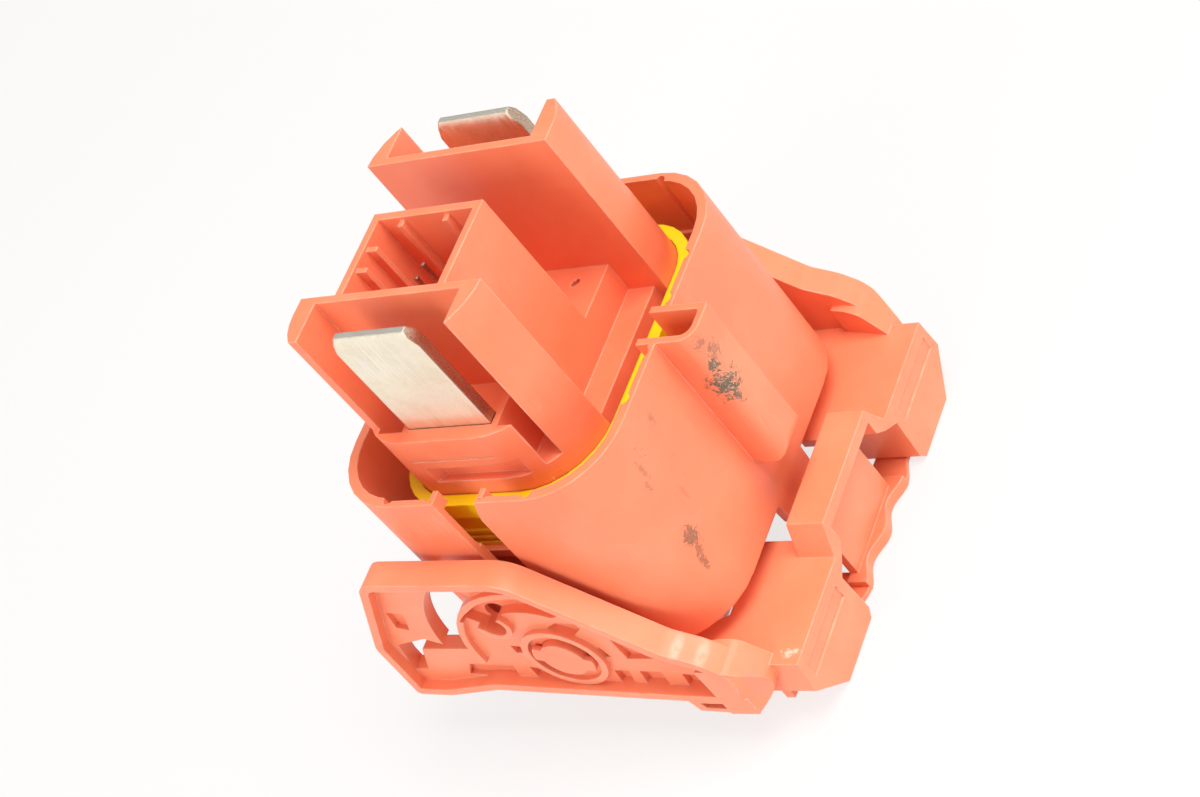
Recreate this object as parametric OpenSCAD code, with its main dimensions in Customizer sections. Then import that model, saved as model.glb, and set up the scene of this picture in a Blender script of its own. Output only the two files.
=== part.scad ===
// Service disconnect plug with a built-in high-voltage fuse, lever folded shut.
// +Z is the mating direction, +X points to the lever's handle, the flat back rests on Z = 0.

/* [Plug housing] */
// Outer size of the round-cornered shroud along X
shroud_x = 60; // [56:1:72]
// Outer size of the shroud along Y, across the two arms
shroud_y = 71; // [66:1:86]
// Radius of the shroud's outer corners
shroud_r = 15; // [12:0.5:18]
// Thickness of the shroud's wall
shroud_wall = 1.9; // [1.6:0.1:2.3]
// Height of the shroud's open rim above the resting face
rim_z = 63; // [60:1:75]
// Height of the shroud's lower edge
skirt_z = 19.3; // [18:0.1:20]
// Width of the guide slot in the front and back walls
slot_w = 7.6; // [6:0.2:9]
// Sideways offset of the guide slot
slot_x = -0.8; // [-1.5:0.1:1.5]
// Height of the guide slot's lower end
slot_end_z = 36; // [34:0.5:42]
// Outer width of the coding channel on the +X wall
channel_w = 8.2; // [7:0.2:10]
// Reach of the coding channel beyond the shroud
channel_out = 7.7; // [6:0.1:9]
// Height of the coding channel's closed end
channel_end_z = 29; // [27:0.5:33]

/* [Contact carrier] */
// Size of the collar along X
collar_x = 40.4; // [38:0.2:43]
// Size of the collar along Y
collar_y = 55.6; // [54:0.2:58]
// Height of the ledge beside the interlock box
ledge_z = 56.4; // [55:0.1:58]
// Height of the collar's rim around each blade
collar_top_z = 70.6; // [68:0.1:73]
// Height of the guards' tips, the tallest point
guard_tip_z = 95; // [90:0.5:110]
// Thickness of the guard walls
guard_wall = 1.5; // [1.3:0.1:1.8]
// Outer size of the interlock box along X
box_x = 24.5; // [22:0.1:26]
// Position of the interlock box's back face
box_back_y = 2.9; // [1:0.1:5]

/* [Blades and fuse] */
// Width of a contact blade
blade_w = 18.4; // [16:0.1:19]
// Thickness of a contact blade
blade_t = 2.3; // [2:0.1:2.6]
// Distance between the blades' middle planes
blade_pitch = 47.4; // [47:0.1:48.4]
// Diameter of the fuse's barrel
fuse_d = 22; // [18:0.5:24]
// Gap between the fuse's end caps and the housing's floor
fuse_gap = 0.9; // [0.5:0.1:1.4]

/* [Lever] */
// Height of the lever's pivot
pivot_z = 24; // [23:0.5:25]
// Diameter of the pivot stud
pivot_d = 9; // [8:0.1:10]
// Gap between the shroud and an arm
arm_gap = 1.5; // [1.3:0.1:2.5]
// Depth of an arm's outer band
arm_depth = 5.4; // [5:0.1:6]
// Reach of the handle's front face from the pivot
handle_x = 42.5; // [42:0.1:46]
// Height of the handle's top face
handle_top_z = 15; // [14.5:0.1:15.5]
// Height of the bridge's top face
bridge_top_z = 21.3; // [20:0.1:22]

/* [Clearances] */
// Running clearance on the radius of the pivot
pivot_gap = 0.08; // [0.04:0.01:0.1]
// Assembly clearance around inserted pieces
fit_gap = 0.15; // [0.1:0.05:0.2]

/* [Hidden] */
$fn = 48;
eps = 0.01;
orange = "#f37a55";
salmon = "#f5855f";
tin = "#cfc8ba";

// Corner helpers
arc_steps = 7;
function unit(v) = v / norm(v);
function cross2(a, b) = a[0] * b[1] - a[1] * b[0];
// One rounded corner at b, between its neighbours a and c
function corner(a, b, c, r) =
    let (u = unit(a - b), v = unit(c - b), half = acos(u * v) / 2, t = r / tan(half),
         centre = b + unit(u + v) * r / sin(half), p = b + u * t - centre,
         turn = 180 - 2 * half, way = cross2(u, v) > 0 ? -1 : 1)
    r < 0.05 ? [b] : [for (i = [0 : arc_steps]) let (w = way * turn * i / arc_steps)
        centre + [p[0] * cos(w) - p[1] * sin(w), p[0] * sin(w) + p[1] * cos(w)]];
// A closed outline whose corner i has radius r[i]
function rounded(p, r) = [for (i = [0 : len(p) - 1])
    each corner(p[(i + len(p) - 1) % len(p)], p[i], p[(i + 1) % len(p)], r[i])];
// The same outline drawn in by d, for points that run anticlockwise
function inset(p, d) = [for (i = [0 : len(p) - 1])
    let (a = p[(i + len(p) - 1) % len(p)], b = p[i], c = p[(i + 1) % len(p)],
         u = unit(b - a), v = unit(c - b), n = [-u[1], u[0]], m = [-v[1], v[0]])
    b + (n + m) * d / (1 + n * m)];
function box_points(x, y) = [[-x, -y], [x, -y], [x, y], [-x, y]] / 2;
module rounded_box(x, y, r, z0, z1)
    translate([0, 0, z0]) linear_extrude(z1 - z0) polygon(rounded(box_points(x, y), [r, r, r, r]));
module block(x0, x1, y0, y1, z0, z1) translate([x0, y0, z0]) cube([x1 - x0, y1 - y0, z1 - z0]);
// Extrudes an XZ outline from y0 to y1
module along_y(y0, y1) translate([0, y1, 0]) rotate([90, 0, 0]) linear_extrude(y1 - y0) children();
// Extrudes a YZ outline from x0 to x1
module along_x(x0, x1) translate([x0, 0, 0]) rotate([90, 0, 90]) linear_extrude(x1 - x0) children();
module rod_y(d, x, z, y0, y1) along_y(y0, y1) translate([x, z]) circle(d = d);
module both_y() {
    children();
    mirror([0, 1, 0]) children();
}
// Turns half a turn about Z, as the two ends of the carrier do
module both_ends() {
    children();
    rotate([0, 0, 180]) children();
}

// Plug housing: values that other pieces share
half_x = shroud_x / 2;
half_y = shroud_y / 2;
floor_t = 2;
floor_z = skirt_z + floor_t;
cap_d = fuse_d + 1.6;
fuse_z = floor_z + cap_d / 2 + fuse_gap;
chamber_y = 50;
chamber_left = -28;
cover_t = 2.5;
seal_t = 0.8;
chamber_z = cover_t + seal_t;
sweep_r = pivot_z + 0.2;
chamber_wall = 2;
arm_in = half_y + arm_gap;
arm_out = arm_in + arm_depth;
web_t = 1.9;
rib_t = 3.1;
ring_t = 4.3;
stud_end = arm_in + 4.6;
ear_t = 1.1;
screw_d = 2.8;
screw_head_d = 5.4;
screw_y = chamber_y / 2 - 5;
screw_xs = [chamber_left + 5, -1.5];
boss_d = 6.4;

// The round-nosed profile of the fuse chamber: a disc about the pivot, squared off on -X
module chamber_profile(wall) {
    r = sweep_r - wall;
    intersection() {
        union() {
            translate([0, pivot_z]) circle(r = r, $fn = 96);
            translate([chamber_left + wall, 0]) square([-chamber_left - wall, pivot_z * 2]);
        }
        translate([chamber_left + wall, 0]) square([-chamber_left + sweep_r, skirt_z + eps]);
    }
}
module chamber(wall, z0)
    intersection() {
        along_y(-chamber_y / 2 + wall, chamber_y / 2 - wall) chamber_profile(wall);
        block(-60, 60, -60, 60, z0, skirt_z + eps);
    }

// Plug housing: lead-in grooves and thinned bands on the inside of the rim
groove_d = 3;
groove_at = [5.8, 15.4];
groove_len = 14;
band_half = 15.4;
band_t = 0.6;
module rim_grooves() {
    for (s = [-1, 1], g = groove_at) {
        for (side = [-1, 1]) {
            translate([side * (half_x - shroud_wall), s * g, rim_z - groove_len])
                cylinder(d = groove_d - 0.6, h = groove_len + 1, $fn = 20);
            translate([s * g, side * (half_y - shroud_wall), rim_z - groove_len])
                cylinder(d = groove_d - 0.6, h = groove_len + 1, $fn = 20);
        }
    }
    for (side = [-1, 1]) {
        block(side * (half_x - shroud_wall) - band_t, side * (half_x - shroud_wall) + band_t,
              -band_half, band_half, rim_z - groove_len, rim_z + 1);
        block(-band_half, band_half, side * (half_y - shroud_wall) - band_t,
              side * (half_y - shroud_wall) + band_t, rim_z - groove_len, rim_z + 1);
    }
}

// Plug housing: guide slot, flared at the rim on its +X side
flare = 2;
flare_z = 5;
module guide_slot() {
    a = slot_x - slot_w / 2;
    b = slot_x + slot_w / 2;
    along_y(half_y - shroud_wall - 1, half_y + 1)
        polygon(concat([[a, rim_z + 1], [a, slot_end_z + slot_w / 2]],
            [for (t = [180 : 15 : 360]) [slot_x, slot_end_z + slot_w / 2] + slot_w / 2 * [cos(t), sin(t)]],
            [[b, rim_z - flare_z], [b + flare * 0.4, rim_z - flare_z / 2],
             [b + flare, rim_z], [b + flare, rim_z + 1]]));
}
horn = 1.1;
module slot_horns() {
    for (x = [slot_x - slot_w / 2 - horn, slot_x + slot_w / 2 + flare])
        block(x, x + horn, half_y - shroud_wall - horn, half_y - shroud_wall / 2, rim_z - 3, rim_z);
}

// Plug housing: coding channel on the +X wall, square corner at the back, large one in front
channel_wall = 1.3;
channel_lip = 2.2;
channel_front_r = 3.4;
module channel_outline(w, x1, r, x0)
    polygon(rounded([[x0, -w / 2], [x1, -w / 2], [x1, w / 2], [x0, w / 2]], [0, r, 0.8, 0]));
module channel_outer() {
    x1 = half_x + channel_out;
    intersection() {
        translate([0, 0, channel_end_z]) linear_extrude(rim_z - channel_end_z)
            channel_outline(channel_w, x1, channel_front_r, half_x - shroud_wall - channel_lip);
        along_y(-channel_w, channel_w)
            polygon(rounded([[half_x - 10, channel_end_z], [x1, channel_end_z], [x1, rim_z],
                             [half_x - 10, rim_z]], [0, 3.6, 0, 0]));
    }
}
module channel_bore()
    translate([0, 0, channel_end_z + 1.6]) linear_extrude(rim_z)
        channel_outline(channel_w - 2 * channel_wall, half_x + channel_out - channel_wall,
                        channel_front_r - channel_wall, half_x - shroud_wall - channel_lip - 1);

// Plug housing: tongue that hangs below the +X wall inside the handle
tongue_w = 13.2;
tongue_end_z = 14;
module tongue() {
    along_x(half_x - shroud_wall, half_x)
        polygon([[-tongue_w / 2, skirt_z + 1], [-tongue_w / 2 + 0.5, tongue_end_z],
                 [tongue_w / 2 - 0.5, tongue_end_z], [tongue_w / 2, skirt_z + 1]]);
    block(half_x - eps, half_x + 0.7, -tongue_w / 2 + 1, tongue_w / 2 - 1, tongue_end_z, tongue_end_z + 0.9);
}

// Plug housing: pivot stud with its washer face and two bayonet ears
washer_d = 15;
ear_r = 6;
module pivot_stud() {
    rod_y(washer_d, 0, pivot_z, half_y - shroud_wall, arm_in - 0.4);
    rod_y(pivot_d, 0, pivot_z, half_y - shroud_wall, stud_end);
    along_y(stud_end - ear_t, stud_end) intersection() {
        translate([0, pivot_z]) circle(r = ear_r);
        translate([0, pivot_z]) rotate(-20) square([2 * ear_r, 3.4], center = true);
    }
}

module plug_housing() color(salmon) {
    difference() {
        union() {
            rounded_box(shroud_x, shroud_y, shroud_r, skirt_z, rim_z);
            chamber(0, chamber_z);
        }
        rounded_box(shroud_x - 2 * shroud_wall, shroud_y - 2 * shroud_wall, shroud_r - shroud_wall,
                    floor_z, rim_z + 1);
        rim_grooves();
        both_y() guide_slot();
        channel_bore();
        chamber_hollow();
        floor_opening();
    }
    difference() {
        union() {
            channel_outer();
            tongue();
        }
        channel_bore();
    }
    both_y() {
        pivot_stud();
        slot_horns();
    }
    difference() {
        for (x = screw_xs, s = [-1, 1]) screw_boss(x, s * screw_y);
        for (x = screw_xs, s = [-1, 1])
            translate([x, s * screw_y, chamber_z - 1]) cylinder(d = screw_d + 2 * fit_gap, h = 11);
    }
}
module chamber_hollow() chamber(chamber_wall, chamber_z - 1);
module screw_boss(x, y)
    translate([x, y, chamber_z]) cylinder(d = boss_d, h = skirt_z - chamber_z + eps);
floor_open_x = 31;
floor_open_y = 36;
module floor_opening() rounded_box(floor_open_x, floor_open_y, 4, skirt_z - 1, floor_z + 1);

// Contact carrier: values that other pieces share
blade_y = blade_pitch / 2;
blade_in = blade_y - blade_t / 2;
blade_out = blade_y + blade_t / 2;
sharp_r = 14;
blunt_r = 9.5;
collar_radii = [blunt_r, sharp_r, blunt_r, sharp_r];
seal_top_z = ledge_z - 0.8;
retainer_step_z = seal_top_z - 3.8;
seal_join_z = seal_top_z - 8;
flange_z = seal_top_z - 12.5;
flange_t = 2.1;
flange_x = 47;
flange_y = 62;
skirt_x = 42;
skirt_y = 59.4;
carrier_wall = 1.7;
guard_y = blade_pitch / 2 - 9;
fin_y = 24.3;
fin_in = 16.3;
module collar(d, z0, z1)
    translate([0, 0, z0]) linear_extrude(z1 - z0)
        polygon(rounded(inset(box_points(collar_x, collar_y), d),
                        [for (r = collar_radii) max(r - d, 0.5)]));

// Contact carrier: one end, drawn for the front blade at -Y
pocket_side = 1.4;
module carrier_end() {
    top_plate = 3;
    difference() {
        intersection() {
            collar(0, flange_z, guard_tip_z);
            union() {
                block(-30, 30, -40, -guard_y, flange_z, collar_top_z);
                block(-30, 30, -fin_y, -guard_y, flange_z, guard_tip_z);
            }
        }
        // channel in which the blade stands
        block(-fin_in, fin_in, -40, -guard_y - guard_wall, collar_top_z, guard_tip_z + 1);
        // deep pockets beside the blade
        for (s = [-1, 1])
            block(min(s * (blade_w / 2 + pocket_side), s * fin_in), max(s * (blade_w / 2 + pocket_side), s * fin_in),
                  -collar_y / 2 + 2.4, -guard_y - guard_wall, collar_top_z - 11, collar_top_z + 1);
        latch_window();
        shadow_groove();
        blade_slot();
        // room for the blade, the fuse and its screw under the top plate
        block(-15, 15, -collar_y / 2 + 2, -guard_y - guard_wall, flange_z - 1, collar_top_z - 11 - top_plate);
        block(-15, 15, -collar_y / 2 + 2, -guard_y + 1, flange_z - 1, flange_z + 5);
    }
}
module blade_slot()
    block(-blade_w / 2 - fit_gap, blade_w / 2 + fit_gap, -blade_out - fit_gap, -blade_in + fit_gap,
          flange_z - 1, collar_top_z + 1);
// Front latch window with a slanted cheek
window_l = -8;
window_r = 11;
window_z = 59.2;
window_h = 3.9;
module latch_window()
    difference() {
        block(window_l - 2.6, window_r, -collar_y / 2 - 1, -collar_y / 2 + 1.7, window_z, window_z + window_h);
        translate([window_l - 2.6, -collar_y / 2 - 1, window_z - 1])
            linear_extrude(window_h + 2) polygon([[-1, 3], [-1, 0.5], [0.2, 0.5], [2.8, 3]]);
    }
module shadow_groove()
    block(-11.6, 14.7, -collar_y / 2 - 1, -collar_y / 2 + 0.2, 65, 65.35);

// Contact carrier: interlock box with guide ribs
box_wall = 1.5;
box_floor_z = 73;
box_front_y = -guard_y;
module box_ribs() {
    in_x = box_x / 2 - box_wall;
    in_b = box_back_y - box_wall;
    for (y = [-4.4, -9]) {
        block(-in_x - eps, -in_x + 2.1, y - 0.5, y + 0.5, box_floor_z, guard_tip_z - 0.8);
        block(in_x - 1, in_x + eps, y - 0.5, y + 0.5, box_floor_z, guard_tip_z - 0.8);
    }
    for (x = [-5.7, 4.4]) {
        block(x - 0.5, x + 0.5, in_b - 1.3, in_b + eps, box_floor_z, guard_tip_z - 0.8);
        block(x - 0.5, x + 0.5, -guard_y - eps, -guard_y + 0.5, box_floor_z, guard_tip_z - 0.8);
    }
}
// Plate between the box and the back guard, its hole and the ledge below it
plate_z = 63.3;
plate_t = 2;
ledge_out = 17.9;
module middle() {
    difference() {
        block(-box_x / 2, box_x / 2, box_front_y - eps, box_back_y, ledge_z - 3, guard_tip_z);
        block(-box_x / 2 + box_wall, box_x / 2 - box_wall, box_front_y, box_back_y - box_wall,
              box_floor_z, guard_tip_z + 1);
        block(-box_x / 2 + box_wall, box_x / 2 - box_wall, box_front_y + 1, box_back_y - box_wall,
              ledge_z - 4, box_floor_z - 2);
        jumper_holes();
    }
    box_ribs();
    difference() {
        block(-box_x / 2, box_x / 2, box_back_y - eps, guard_y + eps, ledge_z - 3, plate_z);
        block(-box_x / 2 + box_wall, box_x / 2 - box_wall, box_back_y, guard_y, ledge_z - 4, plate_z - plate_t);
        translate([6.6, 11.5, plate_z - plate_t - 1]) linear_extrude(plate_t + 2) union() {
            circle(d = 1.3, $fn = 24);
            translate([-0.5, -0.4]) circle(d = 1.3, $fn = 24);
        }
    }
    difference() {
        block(-ledge_out, ledge_out, -guard_y - eps, guard_y + eps, ledge_z - 2.6, ledge_z);
        block(-box_x / 2 + box_wall, box_x / 2 - box_wall, box_front_y + 1, guard_y - 1, ledge_z - 4, ledge_z + 1);
    }
    for (s = [-1, 1])
        block(min(s * ledge_out, s * (ledge_out - 2)), max(s * ledge_out, s * (ledge_out - 2)),
              -guard_y, guard_y, flange_z, ledge_z);
}
pin = 0.64;
pin_x = -1.7;
pin_ys = [-4.7, -7.7];
module jumper_holes()
    for (y = pin_ys) translate([pin_x - pin / 2 - 0.02, y - pin / 2 - 0.02, box_floor_z - 4])
        cube([pin + 0.04, pin + 0.04, 6]);

// Contact carrier: flange that carries the seal, and the skirt that stands on the housing's floor
module carrier_base() {
    difference() {
        union() {
            rounded_box(flange_x, flange_y, 12, flange_z - flange_t, flange_z);
            rounded_box(skirt_x, skirt_y, 10, floor_z, flange_z - flange_t + eps);
        }
        rounded_box(skirt_x - 2 * carrier_wall, skirt_y - 2 * carrier_wall, 10 - carrier_wall,
                    floor_z - 1, flange_z - flange_t - 1.5);
        block(-15, 15, -collar_y / 2 + 2, collar_y / 2 - 2, flange_z - 8, flange_z + 1);
    }
}
module contact_carrier() color(orange) union() {
    both_ends() carrier_end();
    middle();
    carrier_base();
}

// Contact blade: bevelled tip, clipped corners, hole for the fuse's screw
clip_x = 1.4;
clip_z = 3.5;
bevel = 0.6;
blade_end_z = fuse_z - 7;
blade_hole_d = 5.4;
module blade() color(tin) difference() {
    intersection() {
        along_y(-blade_out, -blade_in) polygon([
            [-blade_w / 2, blade_end_z], [blade_w / 2, blade_end_z], [blade_w / 2, guard_tip_z - clip_z],
            [blade_w / 2 - clip_x, guard_tip_z - 0.1], [-blade_w / 2 + clip_x, guard_tip_z - 0.1],
            [-blade_w / 2, guard_tip_z - clip_z]]);
        along_x(-blade_w, blade_w) polygon([
            [-blade_out, 0], [-blade_in, 0], [-blade_in, guard_tip_z - 0.1 - bevel * 2],
            [-blade_in - bevel, guard_tip_z - 0.1], [-blade_out + bevel, guard_tip_z - 0.1],
            [-blade_out, guard_tip_z - 0.1 - bevel * 2]]);
    }
    rod_y(blade_hole_d, 0, fuse_z, -blade_out - 1, -blade_in + 1);
}
module blade_front() blade();
module blade_back() rotate([0, 0, 180]) blade();

// Interlock jumper: two square pins joined under the box floor
pin_top_z = guard_tip_z - 5.5;
jumper_z = box_floor_z - 3;
module interlock_jumper() color("#b9b2a5") {
    for (y = pin_ys) block(pin_x - pin / 2, pin_x + pin / 2, y - pin / 2, y + pin / 2, jumper_z, pin_top_z);
    block(pin_x - pin / 2, pin_x + pin / 2, pin_ys[1] - pin / 2, pin_ys[0] + pin / 2, jumper_z - pin, jumper_z);
}

// Seal retainer and the seal under it, both rings around the collar
ring_x = 45.6;
ring_y = 60.6;
ring_r = 12.5;
module ring(d, z0, z1)
    difference() {
        rounded_box(ring_x - 2 * d, ring_y - 2 * d, ring_r - d, z0, z1);
        collar(-fit_gap, z0 - 1, z1 + 1);
    }
module seal_retainer() color("#ffc400") {
    ring(0, retainer_step_z, seal_top_z);
    ring(0.9, seal_join_z, retainer_step_z);
}
module perimeter_seal() color("#c98a12") difference() {
    ring(0.4, flange_z, seal_join_z);
    for (z = [flange_z + 1.4, seal_join_z - 1.4]) translate([0, 0, z]) difference() {
        rounded_box(ring_x + 2, ring_y + 2, ring_r, -0.4, 0.4);
        rounded_box(ring_x - 2, ring_y - 2, ring_r - 1, -1, 1);
    }
}

// Fuse: barrel, end caps with threaded bores, and the notched element inside
cap_len = 7;
cap_wall = 2.6;
bore_d = fuse_d - 5;
thread_d = 5;
element_w = 8;
element_t = 0.4;
module fuse_barrel() color("#e8e4da") difference() {
    rod_y(fuse_d, 0, fuse_z, -blade_in + cap_wall, blade_in - cap_wall);
    rod_y(bore_d, 0, fuse_z, -blade_in, blade_in);
}
module fuse_cap() color("#c9b27a") difference() {
    rod_y(cap_d, 0, fuse_z, -blade_in, -blade_in + cap_len);
    rod_y(fuse_d, 0, fuse_z, -blade_in + cap_wall, -blade_in + cap_len + 1);
    rod_y(thread_d, 0, fuse_z, -blade_in - 1, -blade_in + cap_wall + 1);
}
module fuse_cap_front() fuse_cap();
module fuse_cap_back() rotate([0, 0, 180]) fuse_cap();
// Strip with rows of punched necks
neck_pitch = 8;
module fuse_element() color("#d9d9de") difference() {
    block(-element_w / 2, element_w / 2, -blade_in + cap_wall, blade_in - cap_wall,
          fuse_z + 4, fuse_z + 4 + element_t);
    for (y = [-neck_pitch, 0, neck_pitch], x = [-2, 0, 2])
        translate([x, y, fuse_z + 3]) cylinder(d = 1.2, h = 3, $fn = 20);
}

// Fuse screws: through the blade into the cap
fuse_screw_head = 2.6;
module fuse_screw() color("#9a9da0") {
    rod_y(8.4, 0, fuse_z, -blade_out - fuse_screw_head, -blade_out);
    rod_y(thread_d, 0, fuse_z, -blade_out, -blade_in + cap_wall);
}
module fuse_screw_front() fuse_screw();
module fuse_screw_back() rotate([0, 0, 180]) fuse_screw();

// Back cover, its flat seal and four screws
cover_screw_sink = 1.4;
module cover_plate(x_in, y_in, z0, z1)
    intersection() {
        along_y(-chamber_y / 2 + y_in, chamber_y / 2 - y_in) intersection() {
            union() {
                translate([0, pivot_z]) circle(r = sweep_r - x_in, $fn = 96);
                translate([chamber_left + x_in, 0]) square([-chamber_left - x_in, pivot_z]);
            }
            translate([chamber_left + x_in, z0]) square([60, z1 - z0]);
        }
        block(-60, 60, -60, 60, z0, z1);
    }
module cover_holes(d) for (x = screw_xs, s = [-1, 1])
    translate([x, s * screw_y, -1]) cylinder(d = d, h = 10);
module cover_seal() color("#3b3b3d") difference() {
    cover_plate(0, 0, cover_t, chamber_z);
    cover_plate(chamber_wall + 5, chamber_wall + 5, cover_t - 1, chamber_z + 1);
    cover_holes(screw_d + 2 * fit_gap);
}
module back_cover() color(orange) difference() {
    cover_plate(0, 0, 0, cover_t);
    cover_holes(screw_d + 2 * fit_gap);
    for (x = screw_xs, s = [-1, 1]) translate([x, s * screw_y, -1])
        cylinder(d = screw_head_d + 0.6, h = 1 + cover_screw_sink);
}
module cover_screw(i) color("#6f7276") translate([screw_xs[i % 2], (i < 2 ? -1 : 1) * screw_y, 0])
    difference() {
        union() {
            translate([0, 0, 0.3]) cylinder(d = screw_head_d, h = cover_screw_sink - 0.3);
            translate([0, 0, 0.3]) cylinder(d = screw_d, h = 11);
        }
        translate([0, 0, -1]) cylinder(d = 2.4, h = 1.9, $fn = 6);
    }
module cover_screw_1() cover_screw(0);
module cover_screw_2() cover_screw(1);
module cover_screw_3() cover_screw(2);
module cover_screw_4() cover_screw(3);

// Lever arm: outline seen from the side, anticlockwise, with its corner radii
arm_points = [[-41.6, 13.9], [-33.5, 13.5], [-21, 15.5], [20, 12.3], [33, 11.4], [32.8, 20.5],
              [28.5, 24.2], [23.5, 26.8], [2.5, 48.6], [-29.2, 49.3], [-40.6, 29.2]];
arm_radii = [1, 3, 8, 0, 5, 6, 8, 6, 9, 4, 5];
band_w = 1.7;
module arm_outline(d) polygon(rounded(inset(arm_points, d), [for (r = arm_radii) max(r - d, 0.3)]));
cam_r = 20.3;
window_r_out = 27;
module sector(r0, r1, a0, a1) polygon(concat(
    [for (i = [0 : 12]) r1 * [cos(a0 + (a1 - a0) * i / 12), sin(a0 + (a1 - a0) * i / 12)]],
    [for (i = [12 : -1 : 0]) r0 * [cos(a0 + (a1 - a0) * i / 12), sin(a0 + (a1 - a0) * i / 12)]]));
// Window through the arm, where the header's guide peg enters
module arm_window() {
    intersection() {
        arm_outline(band_w);
        union() {
            translate([0, pivot_z]) sector(cam_r, window_r_out, 118, 176);
            polygon([[-40, 19], [-38, 27], [-30, 29], [-24, 25.6], [-33, 25.6], [-36.5, 19]]);
        }
    }
}
// Pockets between the arm's stiffening ribs
module pockets() {
    polygon([[0.6, 27.6], [2.9, 27.6], [8.3, 31.7], [8, 33.2], [4.1, 33.7], [1.3, 32.2]]);
    polygon([[7.2, 22.8], [9.2, 22.8], [8.4, 26.3]]);
    polygon([[12.4, 22.2], [18, 22.2], [12.4, 28.4]]);
    polygon([[6.4, 14.6], [9, 14.4], [10.2, 18.4], [6.9, 18.6]]);
    polygon([[11.8, 14.2], [16.4, 14], [17, 18], [12.3, 18.3]]);
    polygon([[20.6, 13.8], [24.6, 13.6], [24, 17], [21, 17.4]]);
    polygon([[-11.3, 24.2], [-7.6, 24.2], [-8.2, 26.2], [-11.2, 26.6]]);
    polygon([[-11.8, 16], [-6.8, 15.7], [-8.1, 18.6], [-11.8, 19.7]]);
    polygon([[-27.5, 17.2], [-16, 16.4], [-15.2, 20], [-25.2, 20.6]]);
    polygon([[-33, 37.6], [-29, 37], [-31.4, 31.8], [-34, 32.6]]);
}
// Spiral peg groove: from the window inwards to a round end above the pivot
groove_w = 4.6;
function spiral_r(t) = 17.4 - 3.2 * t;
function spiral_a(t) = 142 - 70 * t;
function on_spiral(t, d) = [0, pivot_z] + (spiral_r(t) + d) * [cos(spiral_a(t)), sin(spiral_a(t))];
module peg_groove() polygon(concat(
    [for (i = [0 : 12]) on_spiral(i / 12, -groove_w / 2)],
    [for (i = [1 : 9]) on_spiral(1, 0) - groove_w / 2 * [cos(spiral_a(1) + 18 * i), sin(spiral_a(1) + 18 * i)]],
    [for (i = [12 : -1 : 0]) on_spiral(i / 12, groove_w / 2)]));
collar_d = 7.4;
tube_d = 5.4;
tube_at = [-9.2, 34.3];
boss_ring_d = 16.4;
module arm() {
    difference() {
        union() {
            along_y(-arm_out, -arm_in) difference() {
                arm_outline(0);
                arm_outline(band_w);
            }
            along_y(-arm_in - web_t, -arm_in) arm_outline(band_w / 2);
            along_y(-arm_in - rib_t, -arm_in) difference() {
                arm_outline(band_w / 2);
                pockets();
            }
            along_y(-arm_in - ring_t, -arm_in) intersection() {
                arm_outline(band_w / 2);
                union() {
                    translate([0, pivot_z]) sector(cam_r - 1.3, cam_r, 66, 184);
                    translate([0, pivot_z]) difference() {
                        circle(d = boss_ring_d);
                        circle(d = boss_ring_d - 2.6);
                    }
                    translate(tube_at) circle(d = collar_d);
                }
            }
        }
        along_y(-arm_out - 1, -arm_in + 1) arm_window();
        along_y(-arm_out - 1, -arm_in - 1) peg_groove();
        rod_y(tube_d, tube_at[0], tube_at[1], -arm_out - 1, -arm_in + 1);
        rod_y(pivot_d + 2 * pivot_gap, 0, pivot_z, -arm_out - 1, -arm_in + 1);
        along_y(-arm_out - 1, -arm_in + 1) intersection() {
            translate([0, pivot_z]) circle(r = ear_r + 0.5);
            translate([0, pivot_z]) rotate(25) square([3 * ear_r, 3.9], center = true);
        }
    }
    // foot under the arm's end with an open pocket
    difference() {
        along_y(-arm_out, -arm_in) polygon([[20, 12.8], [21, 9.3], [29, 8.5], [33, 8.3], [33, 12.8]]);
        along_y(-arm_out - 1, -arm_in - 1) polygon([[22.2, 11.6], [22.8, 10], [29, 9.6], [29.6, 11.4]]);
    }
}

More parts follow.
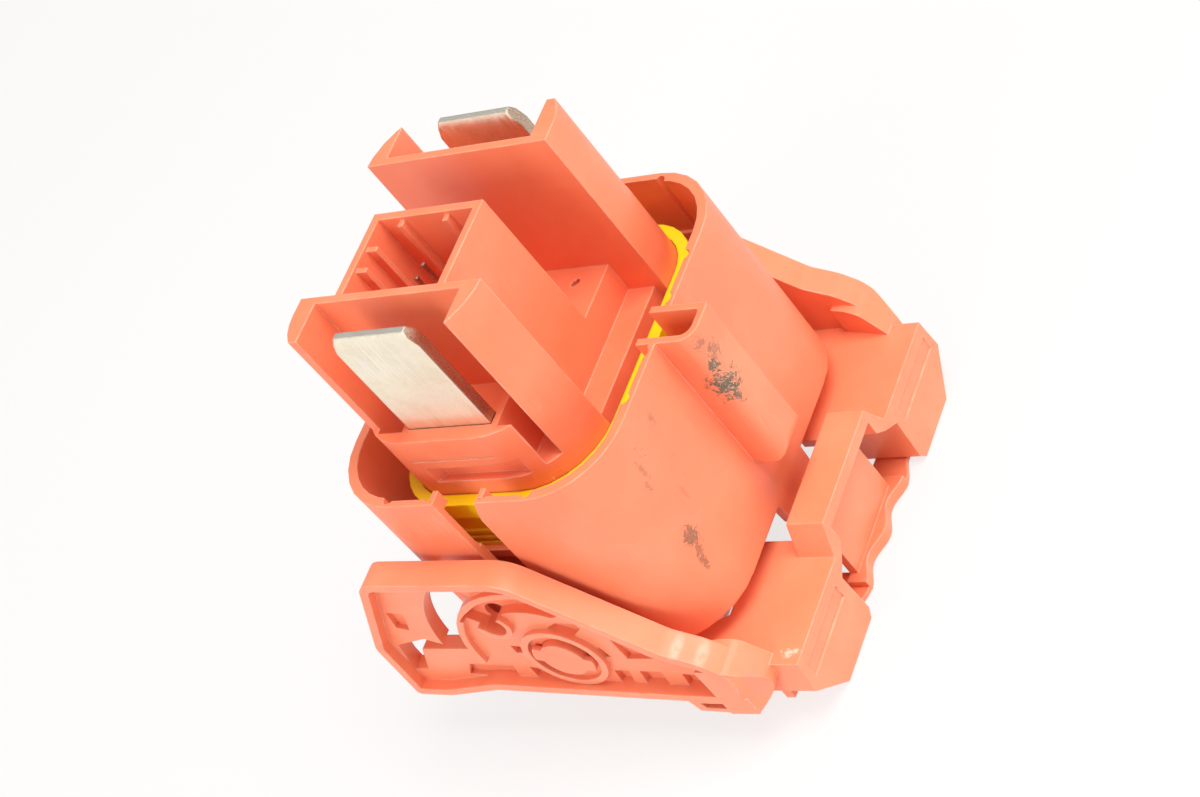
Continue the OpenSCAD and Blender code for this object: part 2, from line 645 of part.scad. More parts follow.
// Handle lobe, drawn at -Y: a hollow shell open at the bottom
lobe_out = arm_in - 0.3;
shell_t = 1.8;
lobe_in = 16.5;
plate_in = 11;
lobe_x = sweep_r + 0.3;
clear_r = sweep_r + 1.5;
bridge_x = handle_x - 7.7;
module lobe() {
    top = handle_top_z;
    difference() {
        union() {
            along_x(lobe_x, handle_x) polygon([[-lobe_in + 1.7, top], [-lobe_out, top], [-lobe_out - 0.6, 7.7],
                [-30.5, 0.1], [-lobe_in - 1, 0.1], [-lobe_in + 0.2, 1.7], [-lobe_in - 0.2, 11.5]]);
            // top plate that reaches under the shroud
            translate([0, 0, top - shell_t]) linear_extrude(shell_t) polygon([
                [bridge_x, -plate_in], [clear_r, -plate_in], [clear_r, -25.8], [22.5, -27.5], [14, -31.5],
                [11, -32.5], [11, -arm_in], [30, -arm_in], [bridge_x, -30]]);
        }
        along_x(lobe_x - 0.5, handle_x - shell_t) polygon([[-lobe_in - shell_t, top - shell_t],
            [-lobe_out + shell_t, top - shell_t], [-lobe_out + shell_t - 0.5, 7.7], [-29.2, -1],
            [-lobe_in - shell_t, -1]]);
        // label strip on the front face, left bare
        block(handle_x - 0.3, handle_x + 1, -35.3, -19, 9.2, 12.4);
    }
    // cross rib inside the shell
    block(33, 33 + shell_t, -lobe_out + 1, -lobe_in - 1, 3, top - 1);
    // round shoulder that joins the arm to the lobe
    intersection() {
        translate([0, 0, 8.3]) linear_extrude(13) polygon(rounded(
            [[27, -arm_in + 1], [27, -arm_out], [33, -arm_out], [39, -lobe_out - 0.3], [39, -arm_in + 3]],
            [0, 0, 5, 3, 0]));
        along_y(-arm_out - 1, -20) polygon(rounded([[27, 8.3], [33, 8.3], [38.5, 12.5], [35, 17.5],
            [32.8, 20.5], [27, 22]], [0, 3, 4, 4, 4, 0]));
    }
}

// Bridge over the finger window, with the latch wall and its scalloped tab
tab_half = 11.5;
tab_t = 2.4;
latch_x = bridge_x + 1.8;
function scallop(y) = handle_x - 2.6 + 0.8 * cos(360 * y / 11.5);
module bridge() {
    top = bridge_top_z;
    under = top - 2.4;
    along_x(bridge_x, handle_x) polygon([
        [-lobe_in - 0.4, 11.2], [-14.8, handle_top_z], [-12, top], [12, top], [14.8, handle_top_z],
        [lobe_in + 0.4, 11.2], [13.3, 13.6], [11.2, 15.6], [11.2, under], [-11.2, under],
        [-11.2, 15.6], [-13.3, 13.6]]);
    block(latch_x, latch_x + 1.7, -9.5, 9.5, 1, under + 0.5);
    translate([0, 0, 0.1]) linear_extrude(tab_t) polygon(concat(
        [[latch_x, tab_half], [latch_x, -tab_half]],
        [for (i = [-12 : 12]) [scallop(i * tab_half / 12), i * tab_half / 12]]));
}
module lever() color(orange) union() {
    both_y() {
        arm();
        lobe();
    }
    bridge();
}

plug_housing();
contact_carrier();
blade_front();
blade_back();
interlock_jumper();
seal_retainer();
perimeter_seal();
fuse_barrel();
fuse_cap_front();
fuse_cap_back();
fuse_element();
fuse_screw_front();
fuse_screw_back();
cover_seal();
back_cover();
cover_screw_1();
cover_screw_2();
cover_screw_3();
cover_screw_4();
lever();
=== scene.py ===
import math

import bmesh
import bpy
from mathutils import Matrix, Vector


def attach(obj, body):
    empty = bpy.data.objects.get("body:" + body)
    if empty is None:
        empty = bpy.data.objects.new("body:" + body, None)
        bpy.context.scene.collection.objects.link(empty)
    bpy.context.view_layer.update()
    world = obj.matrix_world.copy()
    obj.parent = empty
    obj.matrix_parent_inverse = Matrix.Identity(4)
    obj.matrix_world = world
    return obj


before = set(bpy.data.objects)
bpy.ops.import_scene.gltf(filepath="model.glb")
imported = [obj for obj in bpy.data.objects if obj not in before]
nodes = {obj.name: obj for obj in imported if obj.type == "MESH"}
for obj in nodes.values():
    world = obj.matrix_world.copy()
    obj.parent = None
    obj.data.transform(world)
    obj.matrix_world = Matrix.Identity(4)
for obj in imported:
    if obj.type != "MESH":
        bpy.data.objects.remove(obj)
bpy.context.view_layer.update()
scene = bpy.context.scene
scene.view_settings.view_transform = "Standard"

# Camera
# The plug stands on its back and is seen from above, between the handle's side and the front
# arm's, with the picture rolled so that the blades point up to the left.
right = Vector((0.78, 0.3363, -0.5278)).normalized()
forward = Vector((-0.6229, 0.4978, -0.6035)).normalized()
up = right.cross(forward).normalized()
right = forward.cross(up).normalized()
camera_data = bpy.data.cameras.new("photo_camera")
camera_data.sensor_fit = "HORIZONTAL"
camera_data.sensor_width = 36.0
camera_data.lens = 82.83
camera_data.clip_start = 0.01
camera = bpy.data.objects.new("photo_camera", camera_data)
camera_place = Matrix.Translation((0.30885, -0.24344, 0.33989))
camera_turn = Matrix((right, up, -forward)).transposed().to_4x4()
camera.matrix_world = camera_place @ camera_turn
scene.collection.objects.link(camera)
scene.camera = camera


# Plug housing
# One injection moulding in orange glass-filled nylon: the round-cornered shroud, its coding
# channel, the pivot studs and the fuse chamber. Handling has left scuffs and a dirt patch.
class Wiring:
    """Makes and joins the shader nodes of one material or node group."""

    def __init__(self, tree):
        self.tree = tree

    def add(self, kind, **settings):
        node = self.tree.nodes.new("ShaderNode" + kind)
        for key, value in settings.items():
            setattr(node, key, value)
        return node

    def join(self, source, target):
        self.tree.links.new(source, target)

    def feed(self, socket, value):
        """Sets a socket to a plain value, or joins it to the socket that the value comes from."""
        if isinstance(value, bpy.types.NodeSocket):
            self.join(value, socket)
        else:
            socket.default_value = value

    def math(self, operation, first, second=None, clamp=False):
        node = self.add("Math", operation=operation, use_clamp=clamp)
        self.feed(node.inputs[0], first)
        if second is not None:
            self.feed(node.inputs[1], second)
        return node.outputs[0]

    def times(self, first, second):
        return self.math("MULTIPLY", first, second)

    def plus(self, first, second):
        return self.math("ADD", first, second)

    def minus(self, first, second):
        return self.math("SUBTRACT", first, second)

    def off_middle(self, value):
        """How far a value from 0 to 1 lies from a half."""
        return self.math("ABSOLUTE", self.minus(value, 0.5))

    def vector(self, operation, first, second):
        node = self.add("VectorMath", operation=operation)
        self.feed(node.inputs[0], first)
        self.feed(node.inputs[1], second)
        return node.outputs["Value" if operation == "DOT_PRODUCT" else "Vector"]

    def mix(self, factor, first, second):
        """One colour laid over another: a Mix node's colours are its sockets 6, 7 and 2."""
        node = self.add("Mix", data_type="RGBA")
        self.feed(node.inputs["Factor"], factor)
        self.feed(node.inputs[6], first)
        self.feed(node.inputs[7], second)
        return node.outputs[2]

    def ramp(self, value, low, high, start=0.0, end=1.0, smooth=True):
        """Goes from start to end as the value goes from low to high."""
        node = self.add("MapRange", clamp=True)
        if smooth:
            node.interpolation_type = "SMOOTHSTEP"
        self.feed(node.inputs["Value"], value)
        self.feed(node.inputs["From Min"], low)
        self.feed(node.inputs["From Max"], high)
        self.feed(node.inputs["To Min"], start)
        self.feed(node.inputs["To Max"], end)
        return node.outputs["Result"]

    def place(self):
        return self.add("TexCoord").outputs["Object"]

    def noise(self, scale, detail=3.0, rough=0.5, stretch=None, twist=0.0):
        place = self.place()
        if stretch is not None:
            place = self.vector("MULTIPLY", place, stretch)
        node = self.add("TexNoise")
        self.join(place, node.inputs["Vector"])
        self.feed(node.inputs["Scale"], scale)
        self.feed(node.inputs["Detail"], detail)
        self.feed(node.inputs["Roughness"], rough)
        self.feed(node.inputs["Distortion"], twist)
        return node.outputs["Fac"]

    def spot_distance(self, centre, reach):
        """Distance from a spot's centre, where 1 is the spot's reach along each axis."""
        shift = self.vector("SUBTRACT", self.place(), centre)
        length = self.add("VectorMath", operation="LENGTH")
        self.join(self.vector("DIVIDE", shift, reach), length.inputs[0])
        return length.outputs["Value"]


def start_group(name, inputs, outputs):
    """A shader node group with named sockets: its wiring, what it is given and what it puts out."""
    group = bpy.data.node_groups.new(name, "ShaderNodeTree")
    kinds = {
        "number": "NodeSocketFloat",
        "colour": "NodeSocketColor",
        "vector": "NodeSocketVector",
    }
    for label, (kind, start) in inputs.items():
        socket = group.interface.new_socket(label, in_out="INPUT", socket_type=kinds[kind])
        socket.default_value = start
    for label, kind in outputs.items():
        group.interface.new_socket(label, in_out="OUTPUT", socket_type=kinds[kind])
    given = group.nodes.new("NodeGroupInput").outputs
    out = group.nodes.new("NodeGroupOutput").inputs
    return Wiring(group), given, out


# moulded skin: the faint mottle, flow lines and fine spark grain of the mould
w, given, out = start_group(
    "moulded_skin",
    {
        "Resin": ("colour", (0.9, 0.2, 0.1, 1)),
        "Bloom": ("colour", (1.0, 0.4, 0.25, 1)),
        "Mottle": ("number", 0.4),
        "Grain Scale": ("number", 3000.0),
        "Matt": ("number", 0.5),
        "Sheen Spread": ("number", 0.12),
    },
    {"Color": "colour", "Roughness": "number", "Height": "number"},
)
cloud = w.noise(55.0, detail=4.0, rough=0.6)
speck = w.noise(given["Grain Scale"], detail=2.0, rough=0.7)
flow = w.noise(190.0, detail=3.0, stretch=(1.0, 1.0, 0.25), twist=0.6)
veil = w.times(w.ramp(cloud, 0.35, 0.75), given["Mottle"])
w.join(w.mix(veil, given["Resin"], given["Bloom"]), out["Color"])
sheen = w.times(w.minus(flow, 0.5), given["Sheen Spread"])
w.join(w.math("ADD", given["Matt"], sheen, clamp=True), out["Roughness"])
w.join(w.plus(speck, w.times(flow, 1.5)), out["Height"])

# rounded edge: the small radius of a moulded edge, with a mask for the rub that it takes first and
# for a painted highlight along it
edge_radius = 0.00045
w, given, out = start_group(
    "rounded_edge",
    {"Rub and Highlight Width": ("number", 0.5), "Break Up": ("number", 0.5)},
    {"Normal": "vector", "Rub and Highlight": "number"},
)
bevel = w.add("Bevel", samples=6)
bevel.inputs["Radius"].default_value = edge_radius
soft = bevel.outputs["Normal"]
true = w.add("NewGeometry").outputs["Normal"]
agreement = w.vector("DOT_PRODUCT", soft, true)
# where a wall is thinner than the radius its far side spoils the rounding: the plain face stays
sound = w.ramp(agreement, 0.35, 0.6)
facing = w.add("Mix", data_type="VECTOR")  # its vectors are the sockets 4, 5 and 1
w.join(sound, facing.inputs[0])
w.join(true, facing.inputs[4])
w.join(soft, facing.inputs[5])
w.join(facing.outputs[1], out["Normal"])
lean = w.minus(1.0, agreement)
crumble = w.noise(260.0, detail=4.0, rough=0.7)
patchy = w.ramp(crumble, 0.4, 0.62, w.minus(1.0, given["Break Up"]), 1.0)
# the edge mask: rub, and a painted highlight along the edge
line = w.ramp(lean, 0.01, w.minus(0.35, w.times(given["Rub and Highlight Width"], 0.3)))
w.join(w.times(w.times(line, patchy), sound), out["Rub and Highlight"])

# dirt patch: a ragged smear round one point of the surface
w, given, out = start_group(
    "dirt_patch",
    {
        "Centre": ("vector", (0, 0, 0)),
        "Reach": ("vector", (0.003, 0.003, 0.003)),
        "Ragged": ("number", 0.6),
        "Grit Scale": ("number", 700.0),
    },
    {"Mask": "number"},
)
distance = w.spot_distance(given["Centre"], given["Reach"])
grit = w.minus(w.noise(given["Grit Scale"], detail=6.0, rough=0.75, twist=0.8), 0.5)
ragged_distance = w.plus(distance, w.times(grit, w.times(given["Ragged"], 6.0)))
w.join(w.ramp(ragged_distance, 1.05, 0.5), out["Mask"])

# soft spot: a plain soft-edged mask round one point, for stains and for where marks may lie
w, given, out = start_group(
    "soft_spot",
    {"Centre": ("vector", (0, 0, 0)), "Reach": ("vector", (0.003, 0.003, 0.003))},
    {"Mask": "number"},
)
distance = w.spot_distance(given["Centre"], given["Reach"])
w.join(w.ramp(distance, 1.0, 0.3), out["Mask"])

# tick marks: rows of short thin lines where something ribbed was dragged across
w, given, out = start_group(
    "tick_marks",
    {"Across": ("vector", (0, 0.5, 0.8)), "Pitch": ("number", 0.0005), "Fill": ("number", 1.0)},
    {"Mask": "number"},
)
along = w.vector("DOT_PRODUCT", w.place(), given["Across"])
bend = w.times(w.noise(260.0, detail=2.0), 5.0)
turns = w.plus(w.math("DIVIDE", along, given["Pitch"]), bend)
line = w.ramp(w.off_middle(w.math("FRACT", turns)), 0.22, 0.04)
crumble = w.noise(1500.0, detail=3.0, rough=0.7)
broken = w.ramp(crumble, w.minus(0.75, w.times(given["Fill"], 0.35)), 0.72)
w.join(w.times(line, broken), out["Mask"])

# hair scuffs: thin pale scratches in patches, running along one direction
w, given, out = start_group(
    "hair_scuffs",
    {
        "Stretch": ("vector", (1, 1, 0.06)),
        "Scale": ("number", 900.0),
        "Spread": ("number", 0.5),
    },
    {"Mask": "number"},
)
strand = w.noise(given["Scale"], detail=2.0, stretch=given["Stretch"], twist=0.3)
thin = w.ramp(w.off_middle(strand), 0.03, 0.0)
handled = w.noise(70.0, detail=3.0)
where = w.ramp(handled, w.minus(0.8, w.times(given["Spread"], 0.5)), 0.85)
w.join(w.times(thin, where), out["Mask"])


def use_group(wiring, name, **values):
    """One of the groups above, placed in a material with its own values."""
    node = wiring.tree.nodes.new("ShaderNodeGroup")
    node.node_tree = bpy.data.node_groups[name]
    for label, value in values.items():
        wiring.feed(node.inputs[label.replace("_", " ")], value)
    return node.outputs


def start_material(name, metallic=0.0):
    """A new material with its wiring and its shader."""
    material = bpy.data.materials.new(name)
    material.use_nodes = True
    shader = material.node_tree.nodes["Principled BSDF"]
    shader.inputs["Metallic"].default_value = metallic
    return material, Wiring(material.node_tree), shader


def raise_surface(wiring, shader, height, rounded, strength, distance):
    """Puts a fine relief on the shader, over the rounded edges."""
    bump = wiring.add("Bump")
    bump.inputs["Strength"].default_value = strength
    bump.inputs["Distance"].default_value = distance
    wiring.join(height, bump.inputs["Height"])
    wiring.join(rounded["Normal"], bump.inputs["Normal"])
    wiring.join(bump.outputs["Normal"], shader.inputs["Normal"])


def nylon_moulding(name, resin, bloom, matt, rub_and_highlight_tint=(1.0, 0.56, 0.40, 1), rub_and_highlight=0.9):
    """A moulded plastic, paler where it is scuffed and along its edges, partly rub and partly
    painted highlight.
    """
    material, wiring, shader = start_material(name)
    skin = use_group(wiring, "moulded_skin", Resin=resin, Bloom=bloom, Matt=matt)
    rounded = use_group(wiring, "rounded_edge")
    raise_surface(wiring, shader, skin["Height"], rounded, strength=0.22, distance=0.00005)
    scuffs = use_group(wiring, "hair_scuffs")
    # paler along the edges, partly rub and partly painted highlight, and paler where scuffed
    colour = wiring.mix(wiring.times(rounded["Rub and Highlight"], rub_and_highlight), skin["Color"], rub_and_highlight_tint)
    colour = wiring.mix(wiring.times(scuffs["Mask"], 0.35), colour, rub_and_highlight_tint)
    wiring.join(colour, shader.inputs["Base Color"])
    wiring.join(skin["Roughness"], shader.inputs["Roughness"])
    shader.inputs["Specular IOR Level"].default_value = 0.5
    return material


def marks_over(material):
    """The wiring of a finished material, its colour so far, and the socket that takes its marks."""
    paint = material.node_tree.nodes["Principled BSDF"].inputs["Base Color"]
    return Wiring(material.node_tree), paint.links[0].from_socket, paint


# faces that meet at less than this angle are one curved surface
smooth_below = math.cos(math.radians(28))
micron = 1e-6
no_length = 1e-12  # a summed normal shorter than this points nowhere


def dress(material, *names):
    """Gives CAD nodes their material, and shading that runs smoothly over their curved faces."""
    for name in names:
        mesh = nodes[name].data
        mesh.materials.clear()
        mesh.materials.append(material)
        mesh.polygons.foreach_set("use_smooth", [True] * len(mesh.polygons))
        # the CAD mesh keeps each face's corners apart, so they are matched by place, to a micron
        spots = [tuple(round(c / micron) for c in corner.co) for corner in mesh.vertices]
        meeting = {}
        for face in mesh.polygons:
            for corner in face.vertices:
                meeting.setdefault(spots[corner], []).append((face.normal.copy(), face.area))
        leans = []
        for face in mesh.polygons:
            flat = face.normal
            for corner in face.vertices:
                around = meeting[spots[corner]]
                near = (n * area for n, area in around if n.dot(flat) > smooth_below)
                lean = sum(near, Vector((0, 0, 0)))
                leans.append(lean.normalized() if lean.length > no_length else flat.copy())
        mesh.normals_split_custom_set(leans)


housing_nylon = nylon_moulding(
    "housing_nylon",
    resin=(0.92, 0.228, 0.108, 1),
    bloom=(1.0, 0.345, 0.195, 1),
    matt=0.42,
)
w, colour, paint = marks_over(housing_nylon)
# grey-green dirt on the coding channel's round corner, with pale grains in it
dirt_dark, dirt_pale = (0.11, 0.10, 0.065, 1), (0.50, 0.46, 0.34, 1)
grains = w.ramp(w.noise(2600.0, detail=2.0, rough=0.8), 0.55, 0.66)
dirt = w.mix(grains, dirt_dark, dirt_pale)
for centre, reach, ragged, depth in (
    ((0.0362, -0.0036, 0.0500), (0.0030, 0.0030, 0.0034), 0.75, 0.95),
    ((0.0367, -0.0031, 0.0547), (0.0011, 0.0011, 0.0015), 0.6, 0.9),
    ((0.0376, -0.0014, 0.0572), (0.0012, 0.0014, 0.0020), 0.9, 0.55),
    ((0.0371, -0.0025, 0.0600), (0.0011, 0.0011, 0.0016), 0.9, 0.5),
    ((0.0368, -0.0030, 0.0470), (0.0010, 0.0010, 0.0022), 0.8, 0.8),
):
    patch = use_group(w, "dirt_patch", Centre=centre, Reach=reach, Ragged=ragged, Grit_Scale=900.0)
    colour = w.mix(w.times(patch["Mask"], depth), colour, dirt)
# brown smears on the shroud's corner, between the channel and the front arm
smear_brown = (0.26, 0.115, 0.06, 1)
for centre, reach, ragged, depth in (
    ((0.0292, -0.0249, 0.0368), (0.0019, 0.0017, 0.0023), 0.85, 0.85),
    ((0.0290, -0.0255, 0.0338), (0.0011, 0.0010, 0.0018), 0.85, 0.7),
    ((0.0288, -0.0261, 0.0309), (0.0009, 0.0009, 0.0019), 0.7, 0.75),
    ((0.0296, -0.0236, 0.0539), (0.0005, 0.0006, 0.0026), 0.9, 0.5),
    ((0.0293, -0.0247, 0.0506), (0.0005, 0.0005, 0.0014), 0.9, 0.45),
    ((0.0300, -0.0203, 0.0431), (0.0005, 0.0005, 0.0022), 0.9, 0.35),
    ((0.0300, -0.0152, 0.0571), (0.0005, 0.0006, 0.0013), 0.9, 0.5),
):
    patch = use_group(w, "dirt_patch", Centre=centre, Reach=reach, Ragged=ragged, Grit_Scale=1300.0)
    colour = w.mix(w.times(patch["Mask"], depth), colour, smear_brown)
# ribbed scuffs among the smears
scuff_brown, scuff_depth = (0.30, 0.10, 0.055, 1), 0.8
ticks = use_group(w, "tick_marks")
for centre, reach in (
    ((0.0300, -0.0177, 0.0475), (0.003, 0.0034, 0.0038)),
    ((0.0285, -0.0272, 0.0375), (0.003, 0.0026, 0.0030)),
    ((0.0298, -0.0215, 0.0560), (0.003, 0.0024, 0.0040)),
    ((0.0300, -0.0160, 0.0555), (0.003, 0.0020, 0.0035)),
):
    spot = use_group(w, "soft_spot", Centre=centre, Reach=reach)
    scuffed = w.times(w.times(spot["Mask"], ticks["Mask"]), scuff_depth)
    colour = w.mix(scuffed, colour, scuff_brown)
# a duller bloom below the channel's end, and a darker shade along its front side
dull_bloom, shaded = (0.66, 0.22, 0.16, 1), (0.62, 0.20, 0.10, 1)
for centre, reach, tint, depth in (
    ((0.0300, -0.0051, 0.0253), (0.005, 0.0048, 0.0066), dull_bloom, 0.5),
    ((0.0300, -0.0074, 0.0460), (0.004, 0.0030, 0.0080), shaded, 0.45),
):
    stain = use_group(w, "soft_spot", Centre=centre, Reach=reach)
    colour = w.mix(w.times(stain["Mask"], depth), colour, tint)
w.join(colour, paint)
dress(housing_nylon, "plug_housing")

# Contact carrier
# A second moulding in the same nylon stands in the shroud: base collar, a guard round each
# blade and the interlock box. It is a little deeper in colour and has no dirt on it.
carrier_nylon = nylon_moulding(
    "carrier_nylon",
    resin=(0.92, 0.218, 0.100, 1),
    bloom=(1.0, 0.325, 0.18, 1),
    matt=0.4,
    rub_and_highlight=0.95,
)
dress(carrier_nylon, "contact_carrier")


# Corner webs
# Four small webs of the carrier close its collar at the corners of the two blade rooms, just
# above the yellow ring. They belong to the same moulding and lie flush with its outside.
def upright_prism(mesh, outline, foot, head):
    """Adds a closed prism on one outline, from the foot's height to the head's."""
    low = [mesh.verts.new((x, y, foot)) for x, y in outline]
    high = [mesh.verts.new((x, y, head)) for x, y in outline]
    mesh.faces.new(low)
    mesh.faces.new(high)
    for i in range(len(low)):
        j = (i + 1) % len(low)
        mesh.faces.new((low[i], low[j], high[j], high[i]))


def finish_piece(mesh, name, material):
    """Turns a drawn mesh into a visible piece."""
    bmesh.ops.recalc_face_normals(mesh, faces=mesh.faces)
    data = bpy.data.meshes.new(name)
    mesh.to_mesh(data)
    mesh.free()
    data.materials.append(material)
    piece = bpy.data.objects.new(name, data)
    scene.collection.objects.link(piece)
    return piece


web_foot, web_head = 0.0549, 0.05665
web_outline = (  # x and |y|: along the collar's outside, then back through the room's corner
    (0.01321, 0.02581),
    (0.014915, 0.02472),
    (0.01501, 0.02462),
    (0.01501, 0.0239),
    (0.0126, 0.0251),
    (0.0126, 0.02582),
)
webs = bmesh.new()
for east in (1, -1):
    for north in (1, -1):
        corner = [(east * x, north * y) for x, y in web_outline]
        upright_prism(webs, corner, web_foot, web_head)
corner_webs = finish_piece(webs, "collar_corner_webs", carrier_nylon)
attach(corner_webs, "plug")

# Blades
# Two stamped copper blades, tin plated, with lengthwise wiping marks from the header's
# contacts. The plating is through on the sheared edges, where warm copper shows.
tinned, w, shader = start_material("tinned_copper", metallic=1.0)
tin_clean, tin_tarnished = (0.95, 0.87, 0.70, 1), (0.80, 0.67, 0.49, 1)
tin_wiped, tin_pitted, tin_scored = (0.97, 0.92, 0.82, 1), (0.55, 0.46, 0.35, 1), (1, 1, 1, 1)
copper_dull, copper_fresh = (0.36, 0.25, 0.18, 1), (0.66, 0.50, 0.38, 1)
tin_drawn, tin_rubbed = (0.84, 0.81, 0.73, 1), (0.80, 0.62, 0.48, 1)
wipes = w.noise(3400.0, detail=3.0, stretch=(1.0, 1.0, 0.02))
grain = w.noise(5200.0, detail=2.0, rough=0.8)
tarnish = w.ramp(w.noise(160.0, detail=5.0, rough=0.65), 0.40, 0.68)
plate = w.mix(w.times(tarnish, 0.45), tin_clean, tin_tarnished)
plate = w.mix(w.times(w.ramp(wipes, 0.50, 0.62), 0.35), plate, tin_wiped)
plate = w.mix(w.times(w.ramp(grain, 0.52, 0.66), 0.25), plate, tin_pitted)
# a few long bright scores near the front blade's tip, where the header's contact first touches
scratch = w.noise(1500.0, detail=1.0, stretch=(1.0, 0.2, 0.010))
scores = w.ramp(w.off_middle(scratch), 0.028, 0.006)
tip = use_group(w, "soft_spot", Centre=(-0.001, -0.0249, 0.0885), Reach=(0.0085, 0.004, 0.0080))
scored = w.times(scores, tip["Mask"])
plate = w.mix(w.times(scored, 0.9), plate, tin_scored)
# sheared edges: dull copper at the sides, tin drawn over the tip
face = w.add("SeparateXYZ")
w.join(w.add("NewGeometry").outputs["Normal"], face.inputs[0])
sheared = w.ramp(w.math("ABSOLUTE", face.outputs["Y"]), 0.85, 0.55)
copper = w.mix(w.ramp(grain, 0.42, 0.6), copper_dull, copper_fresh)
copper = w.mix(w.ramp(face.outputs["Z"], 0.75, 0.95), copper, tin_drawn)
plate = w.mix(w.times(sheared, 0.9), plate, copper)
rounded = use_group(w, "rounded_edge", Break_Up=0.8)
plate = w.mix(w.times(rounded["Rub and Highlight"], 0.35), plate, tin_rubbed)
w.join(plate, shader.inputs["Base Color"])
wiped = w.ramp(wipes, 0.3, 0.7, 0.36, 0.52)
w.join(w.minus(wiped, w.times(scored, 0.15)), shader.inputs["Roughness"])
relief = w.plus(w.plus(wipes, w.times(grain, 0.8)), scored)
raise_surface(w, shader, relief, rounded, strength=0.3, distance=0.00004)
dress(tinned, "blade_front", "blade_back")


# Interlock jumper
# Two square pins on one tinned bronze strip, moulded into the carrier's small socket.
def plated_metal(name, light, dark, matt):
    """A plated metal with faint cloudiness, fine pitting and softened edges."""
    material, wiring, shader = start_material(name, metallic=1.0)
    cloud = wiring.noise(400.0, detail=5.0, rough=0.6)
    wiring.join(wiring.mix(wiring.ramp(cloud, 0.35, 0.7), light, dark), shader.inputs["Base Color"])
    dullness = wiring.ramp(cloud, 0.3, 0.7, matt - 0.07, matt + 0.09)
    wiring.join(dullness, shader.inputs["Roughness"])
    rounded = use_group(wiring, "rounded_edge")
    pitting = wiring.noise(5200.0)
    raise_surface(wiring, shader, pitting, rounded, strength=0.15, distance=0.00003)
    return material


pin_tin = plated_metal(
    "pin_tin", light=(0.66, 0.58, 0.50, 1), dark=(0.36, 0.24, 0.18, 1), matt=0.38
)
dress(pin_tin, "interlock_jumper")

# Seal retainer
# A yellow moulded ring that snaps round the collar and holds the perimeter seal down.
retainer_nylon = nylon_moulding(
    "retainer_nylon",
    resin=(1.0, 0.66, 0.0, 1),
    bloom=(1.0, 0.74, 0.01, 1),
    matt=0.5,
    rub_and_highlight_tint=(1.0, 0.76, 0.06, 1),
)
dress(retainer_nylon, "seal_retainer")

# Seals
# The perimeter seal is yellow silicone with two lips below the retainer; the back cover's
# seal is a flat black one.
seal_rubber = nylon_moulding(
    "seal_rubber",
    resin=(1.0, 0.62, 0.01, 1),
    bloom=(1.0, 0.68, 0.02, 1),
    matt=0.62,
    rub_and_highlight_tint=(1.0, 0.68, 0.05, 1),
)
dress(seal_rubber, "perimeter_seal")
cover_rubber = nylon_moulding(
    "cover_rubber",
    resin=(0.03, 0.03, 0.032, 1),
    bloom=(0.06, 0.06, 0.06, 1),
    matt=0.7,
    rub_and_highlight_tint=(0.12, 0.12, 0.12, 1),
)
dress(cover_rubber, "cover_seal")

# Fuse
# A ceramic barrel with plated brass caps and a silver strip inside, held by two screws. It
# lies in the closed chamber behind the carrier.
fuse_ceramic = nylon_moulding(
    "fuse_ceramic",
    resin=(0.80, 0.77, 0.70, 1),
    bloom=(0.88, 0.86, 0.8, 1),
    matt=0.6,
    rub_and_highlight_tint=(0.7, 0.67, 0.6, 1),
)
fuse_brass = plated_metal(
    "fuse_brass", light=(0.80, 0.66, 0.36, 1), dark=(0.66, 0.5, 0.24, 1), matt=0.33
)
fuse_silver = plated_metal(
    "fuse_silver", light=(0.86, 0.86, 0.87, 1), dark=(0.7, 0.7, 0.71, 1), matt=0.25
)
zinc_steel = plated_metal(
    "zinc_steel", light=(0.64, 0.65, 0.67, 1), dark=(0.45, 0.45, 0.46, 1), matt=0.34
)
dress(fuse_ceramic, "fuse_barrel")
dress(fuse_brass, "fuse_cap_front", "fuse_cap_back")
dress(fuse_silver, "fuse_element")
dress(zinc_steel, "fuse_screw_front", "fuse_screw_back")

# Back cover
# A flat moulded cover closes the fuse chamber on a black seal; four screws hold it.
dress(housing_nylon, "back_cover")
dress(zinc_steel, "cover_screw_1", "cover_screw_2", "cover_screw_3", "cover_screw_4")

# Lever
# One moulding: two ribbed arms with a spiral cam groove, the hollow handle that joins them and
# the sprung tab that latches it. Two painted highlights lie on the shoulder of its outer band.
lever_nylon = nylon_moulding(
    "lever_nylon",
    resin=(0.93, 0.248, 0.12, 1),
    bloom=(1.0, 0.37, 0.21, 1),
    matt=0.36,
    rub_and_highlight=0.95,
)
w, colour, paint = marks_over(lever_nylon)
# two painted highlights (glints) on the front arm's shoulder, and a grey rub on its end
painted_glint, greyed = (1.0, 0.60, 0.45, 1), (0.62, 0.25, 0.19, 1)
for centre, reach, tint, depth in (
    ((0.0253, -0.0402, 0.0259), (0.0017, 0.0040, 0.0012), painted_glint, 0.5),
    ((0.0292, -0.0400, 0.0235), (0.0019, 0.0040, 0.0012), painted_glint, 0.45),
    ((0.0352, -0.0404, 0.0144), (0.0020, 0.0030, 0.0060), greyed, 0.5),
):
    spot = use_group(w, "soft_spot", Centre=centre, Reach=reach)
    # one noise breaks up both the rub and the painted glints
    wear_and_glint_breakup = w.ramp(w.noise(900.0, detail=4.0, rough=0.7), 0.3, 0.6, 0.4, 1.0)
    colour = w.mix(w.times(w.times(spot["Mask"], wear_and_glint_breakup), depth), colour, tint)
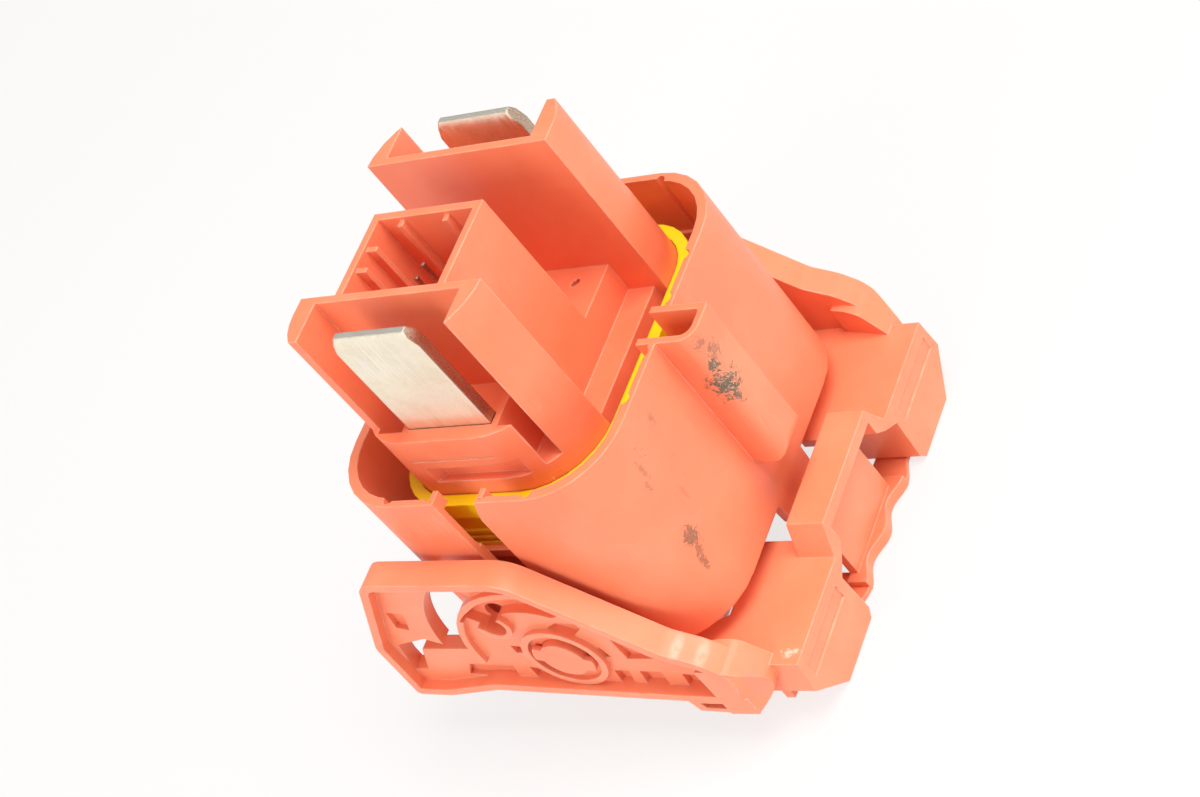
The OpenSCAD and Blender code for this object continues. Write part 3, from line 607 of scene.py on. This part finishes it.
# two pale nicks on the handle beside it
nick_pale, nick_depth = (1.0, 0.66, 0.50, 1), 0.8
for centre, reach in (
    ((0.0398, -0.0345, 0.0150), (0.0012, 0.0008, 0.0006)),
    ((0.0412, -0.0339, 0.0149), (0.0010, 0.0005, 0.0006)),
):
    nick = use_group(w, "dirt_patch", Centre=centre, Reach=reach, Ragged=0.9, Grit_Scale=1800.0)
    colour = w.mix(w.times(nick["Mask"], nick_depth), colour, nick_pale)
w.join(colour, paint)
dress(lever_nylon, "lever")

# Tab webs
# Two thin webs of the lever's moulding, one on each side, tie the scalloped tab to the handle's
# lobes. Their front edge carries the tab's scallops on, and their heels run in behind the tab.
# y of each web's two sides and x of its back, the same of its heel, and its two heights
web_inner, web_outer, web_back = 0.0113, 0.0175, 0.0322
heel_inner, heel_front = 0.0084, 0.0369
web_low, web_high = 0.00015, 0.00105
# the scalloped edge swings about this x, and repeats at this pitch along y
scallop_middle, scallop_swing, scallop_pitch = 0.0398, 0.0008, 0.0115
scallop_steps = 14
web_edge = []
for step in range(scallop_steps + 1):
    y = web_inner + (web_outer - web_inner) * step / scallop_steps
    web_edge.append((scallop_middle + scallop_swing * math.cos(math.tau * y / scallop_pitch), y))
web_edge += [(web_back, web_outer), (web_back, heel_inner)]
web_edge += [(heel_front, heel_inner), (heel_front, web_inner)]
webs = bmesh.new()
for north in (1, -1):
    upright_prism(webs, [(x, north * y) for x, y in web_edge], web_low, web_high)
lever_webs = finish_piece(webs, "lever_tab_webs", lever_nylon)
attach(lever_webs, "lever_arm")

# Floor and light
# A white floor and white walls, under a large overhead softbox, a side softbox and a fill
# light in front.
floor_level = -0.0002  # a hair below the plug's back, so that the two faces share no plane
bpy.ops.mesh.primitive_plane_add(size=6.0, location=(0, 0, floor_level))
floor = bpy.context.object
floor.name = "studio_floor"
paper, w, shader = start_material("studio_paper")
shader.inputs["Base Color"].default_value = (0.86, 0.85, 0.84, 1)
shader.inputs["Roughness"].default_value = 0.8
glow = w.add("Emission")
glow.inputs["Color"].default_value = (0.975, 0.965, 0.955, 1)
rays = w.add("LightPath").outputs
seen = w.math("MAXIMUM", rays["Is Camera Ray"], rays["Is Glossy Ray"])
seen = w.math("MAXIMUM", seen, rays["Is Transmission Ray"])
blend = w.add("MixShader")
w.join(w.times(seen, 0.8), blend.inputs["Fac"])
w.join(shader.outputs["BSDF"], blend.inputs[1])
w.join(glow.outputs["Emission"], blend.inputs[2])
w.join(blend.outputs["Shader"], paper.node_tree.nodes["Material Output"].inputs["Surface"])
floor.data.materials.append(paper)

world = bpy.data.worlds.new("studio_walls")
scene.world = world
world.use_nodes = True
# what the walls shed on the plug, and how bright the camera sees them
wall_light, wall_white = 0.44, 1.0
w = Wiring(world.node_tree)
backdrop = world.node_tree.nodes["Background"]
backdrop.inputs["Color"].default_value = (1.0, 0.985, 0.97, 1)
seen = w.add("LightPath").outputs["Is Camera Ray"]
strength = w.ramp(seen, 0.0, 1.0, wall_light, wall_white, smooth=False)
w.join(strength, backdrop.inputs["Strength"])
plug_middle = Vector((0, 0, 0.03))


def softbox(name, place, size, power, tint=(1, 1, 1)):
    """A square area lamp at one place, pointed at the plug."""
    data = bpy.data.lights.new(name, "AREA")
    data.shape = "SQUARE"
    data.size = size
    data.energy = power
    data.color = tint
    lamp = bpy.data.objects.new(name, data)
    lamp.location = place
    lamp.rotation_euler = (plug_middle - Vector(place)).to_track_quat("-Z", "Y").to_euler()
    scene.collection.objects.link(lamp)


softbox("overhead_softbox", (0.38, 0.08, 0.92), size=0.6, power=9.2, tint=(1.0, 0.985, 0.97))
softbox("side_softbox", (0.9, 0.12, 0.38), size=0.5, power=2.4)
softbox("front_fill", (-0.15, -0.95, 0.42), size=0.6, power=4.4)
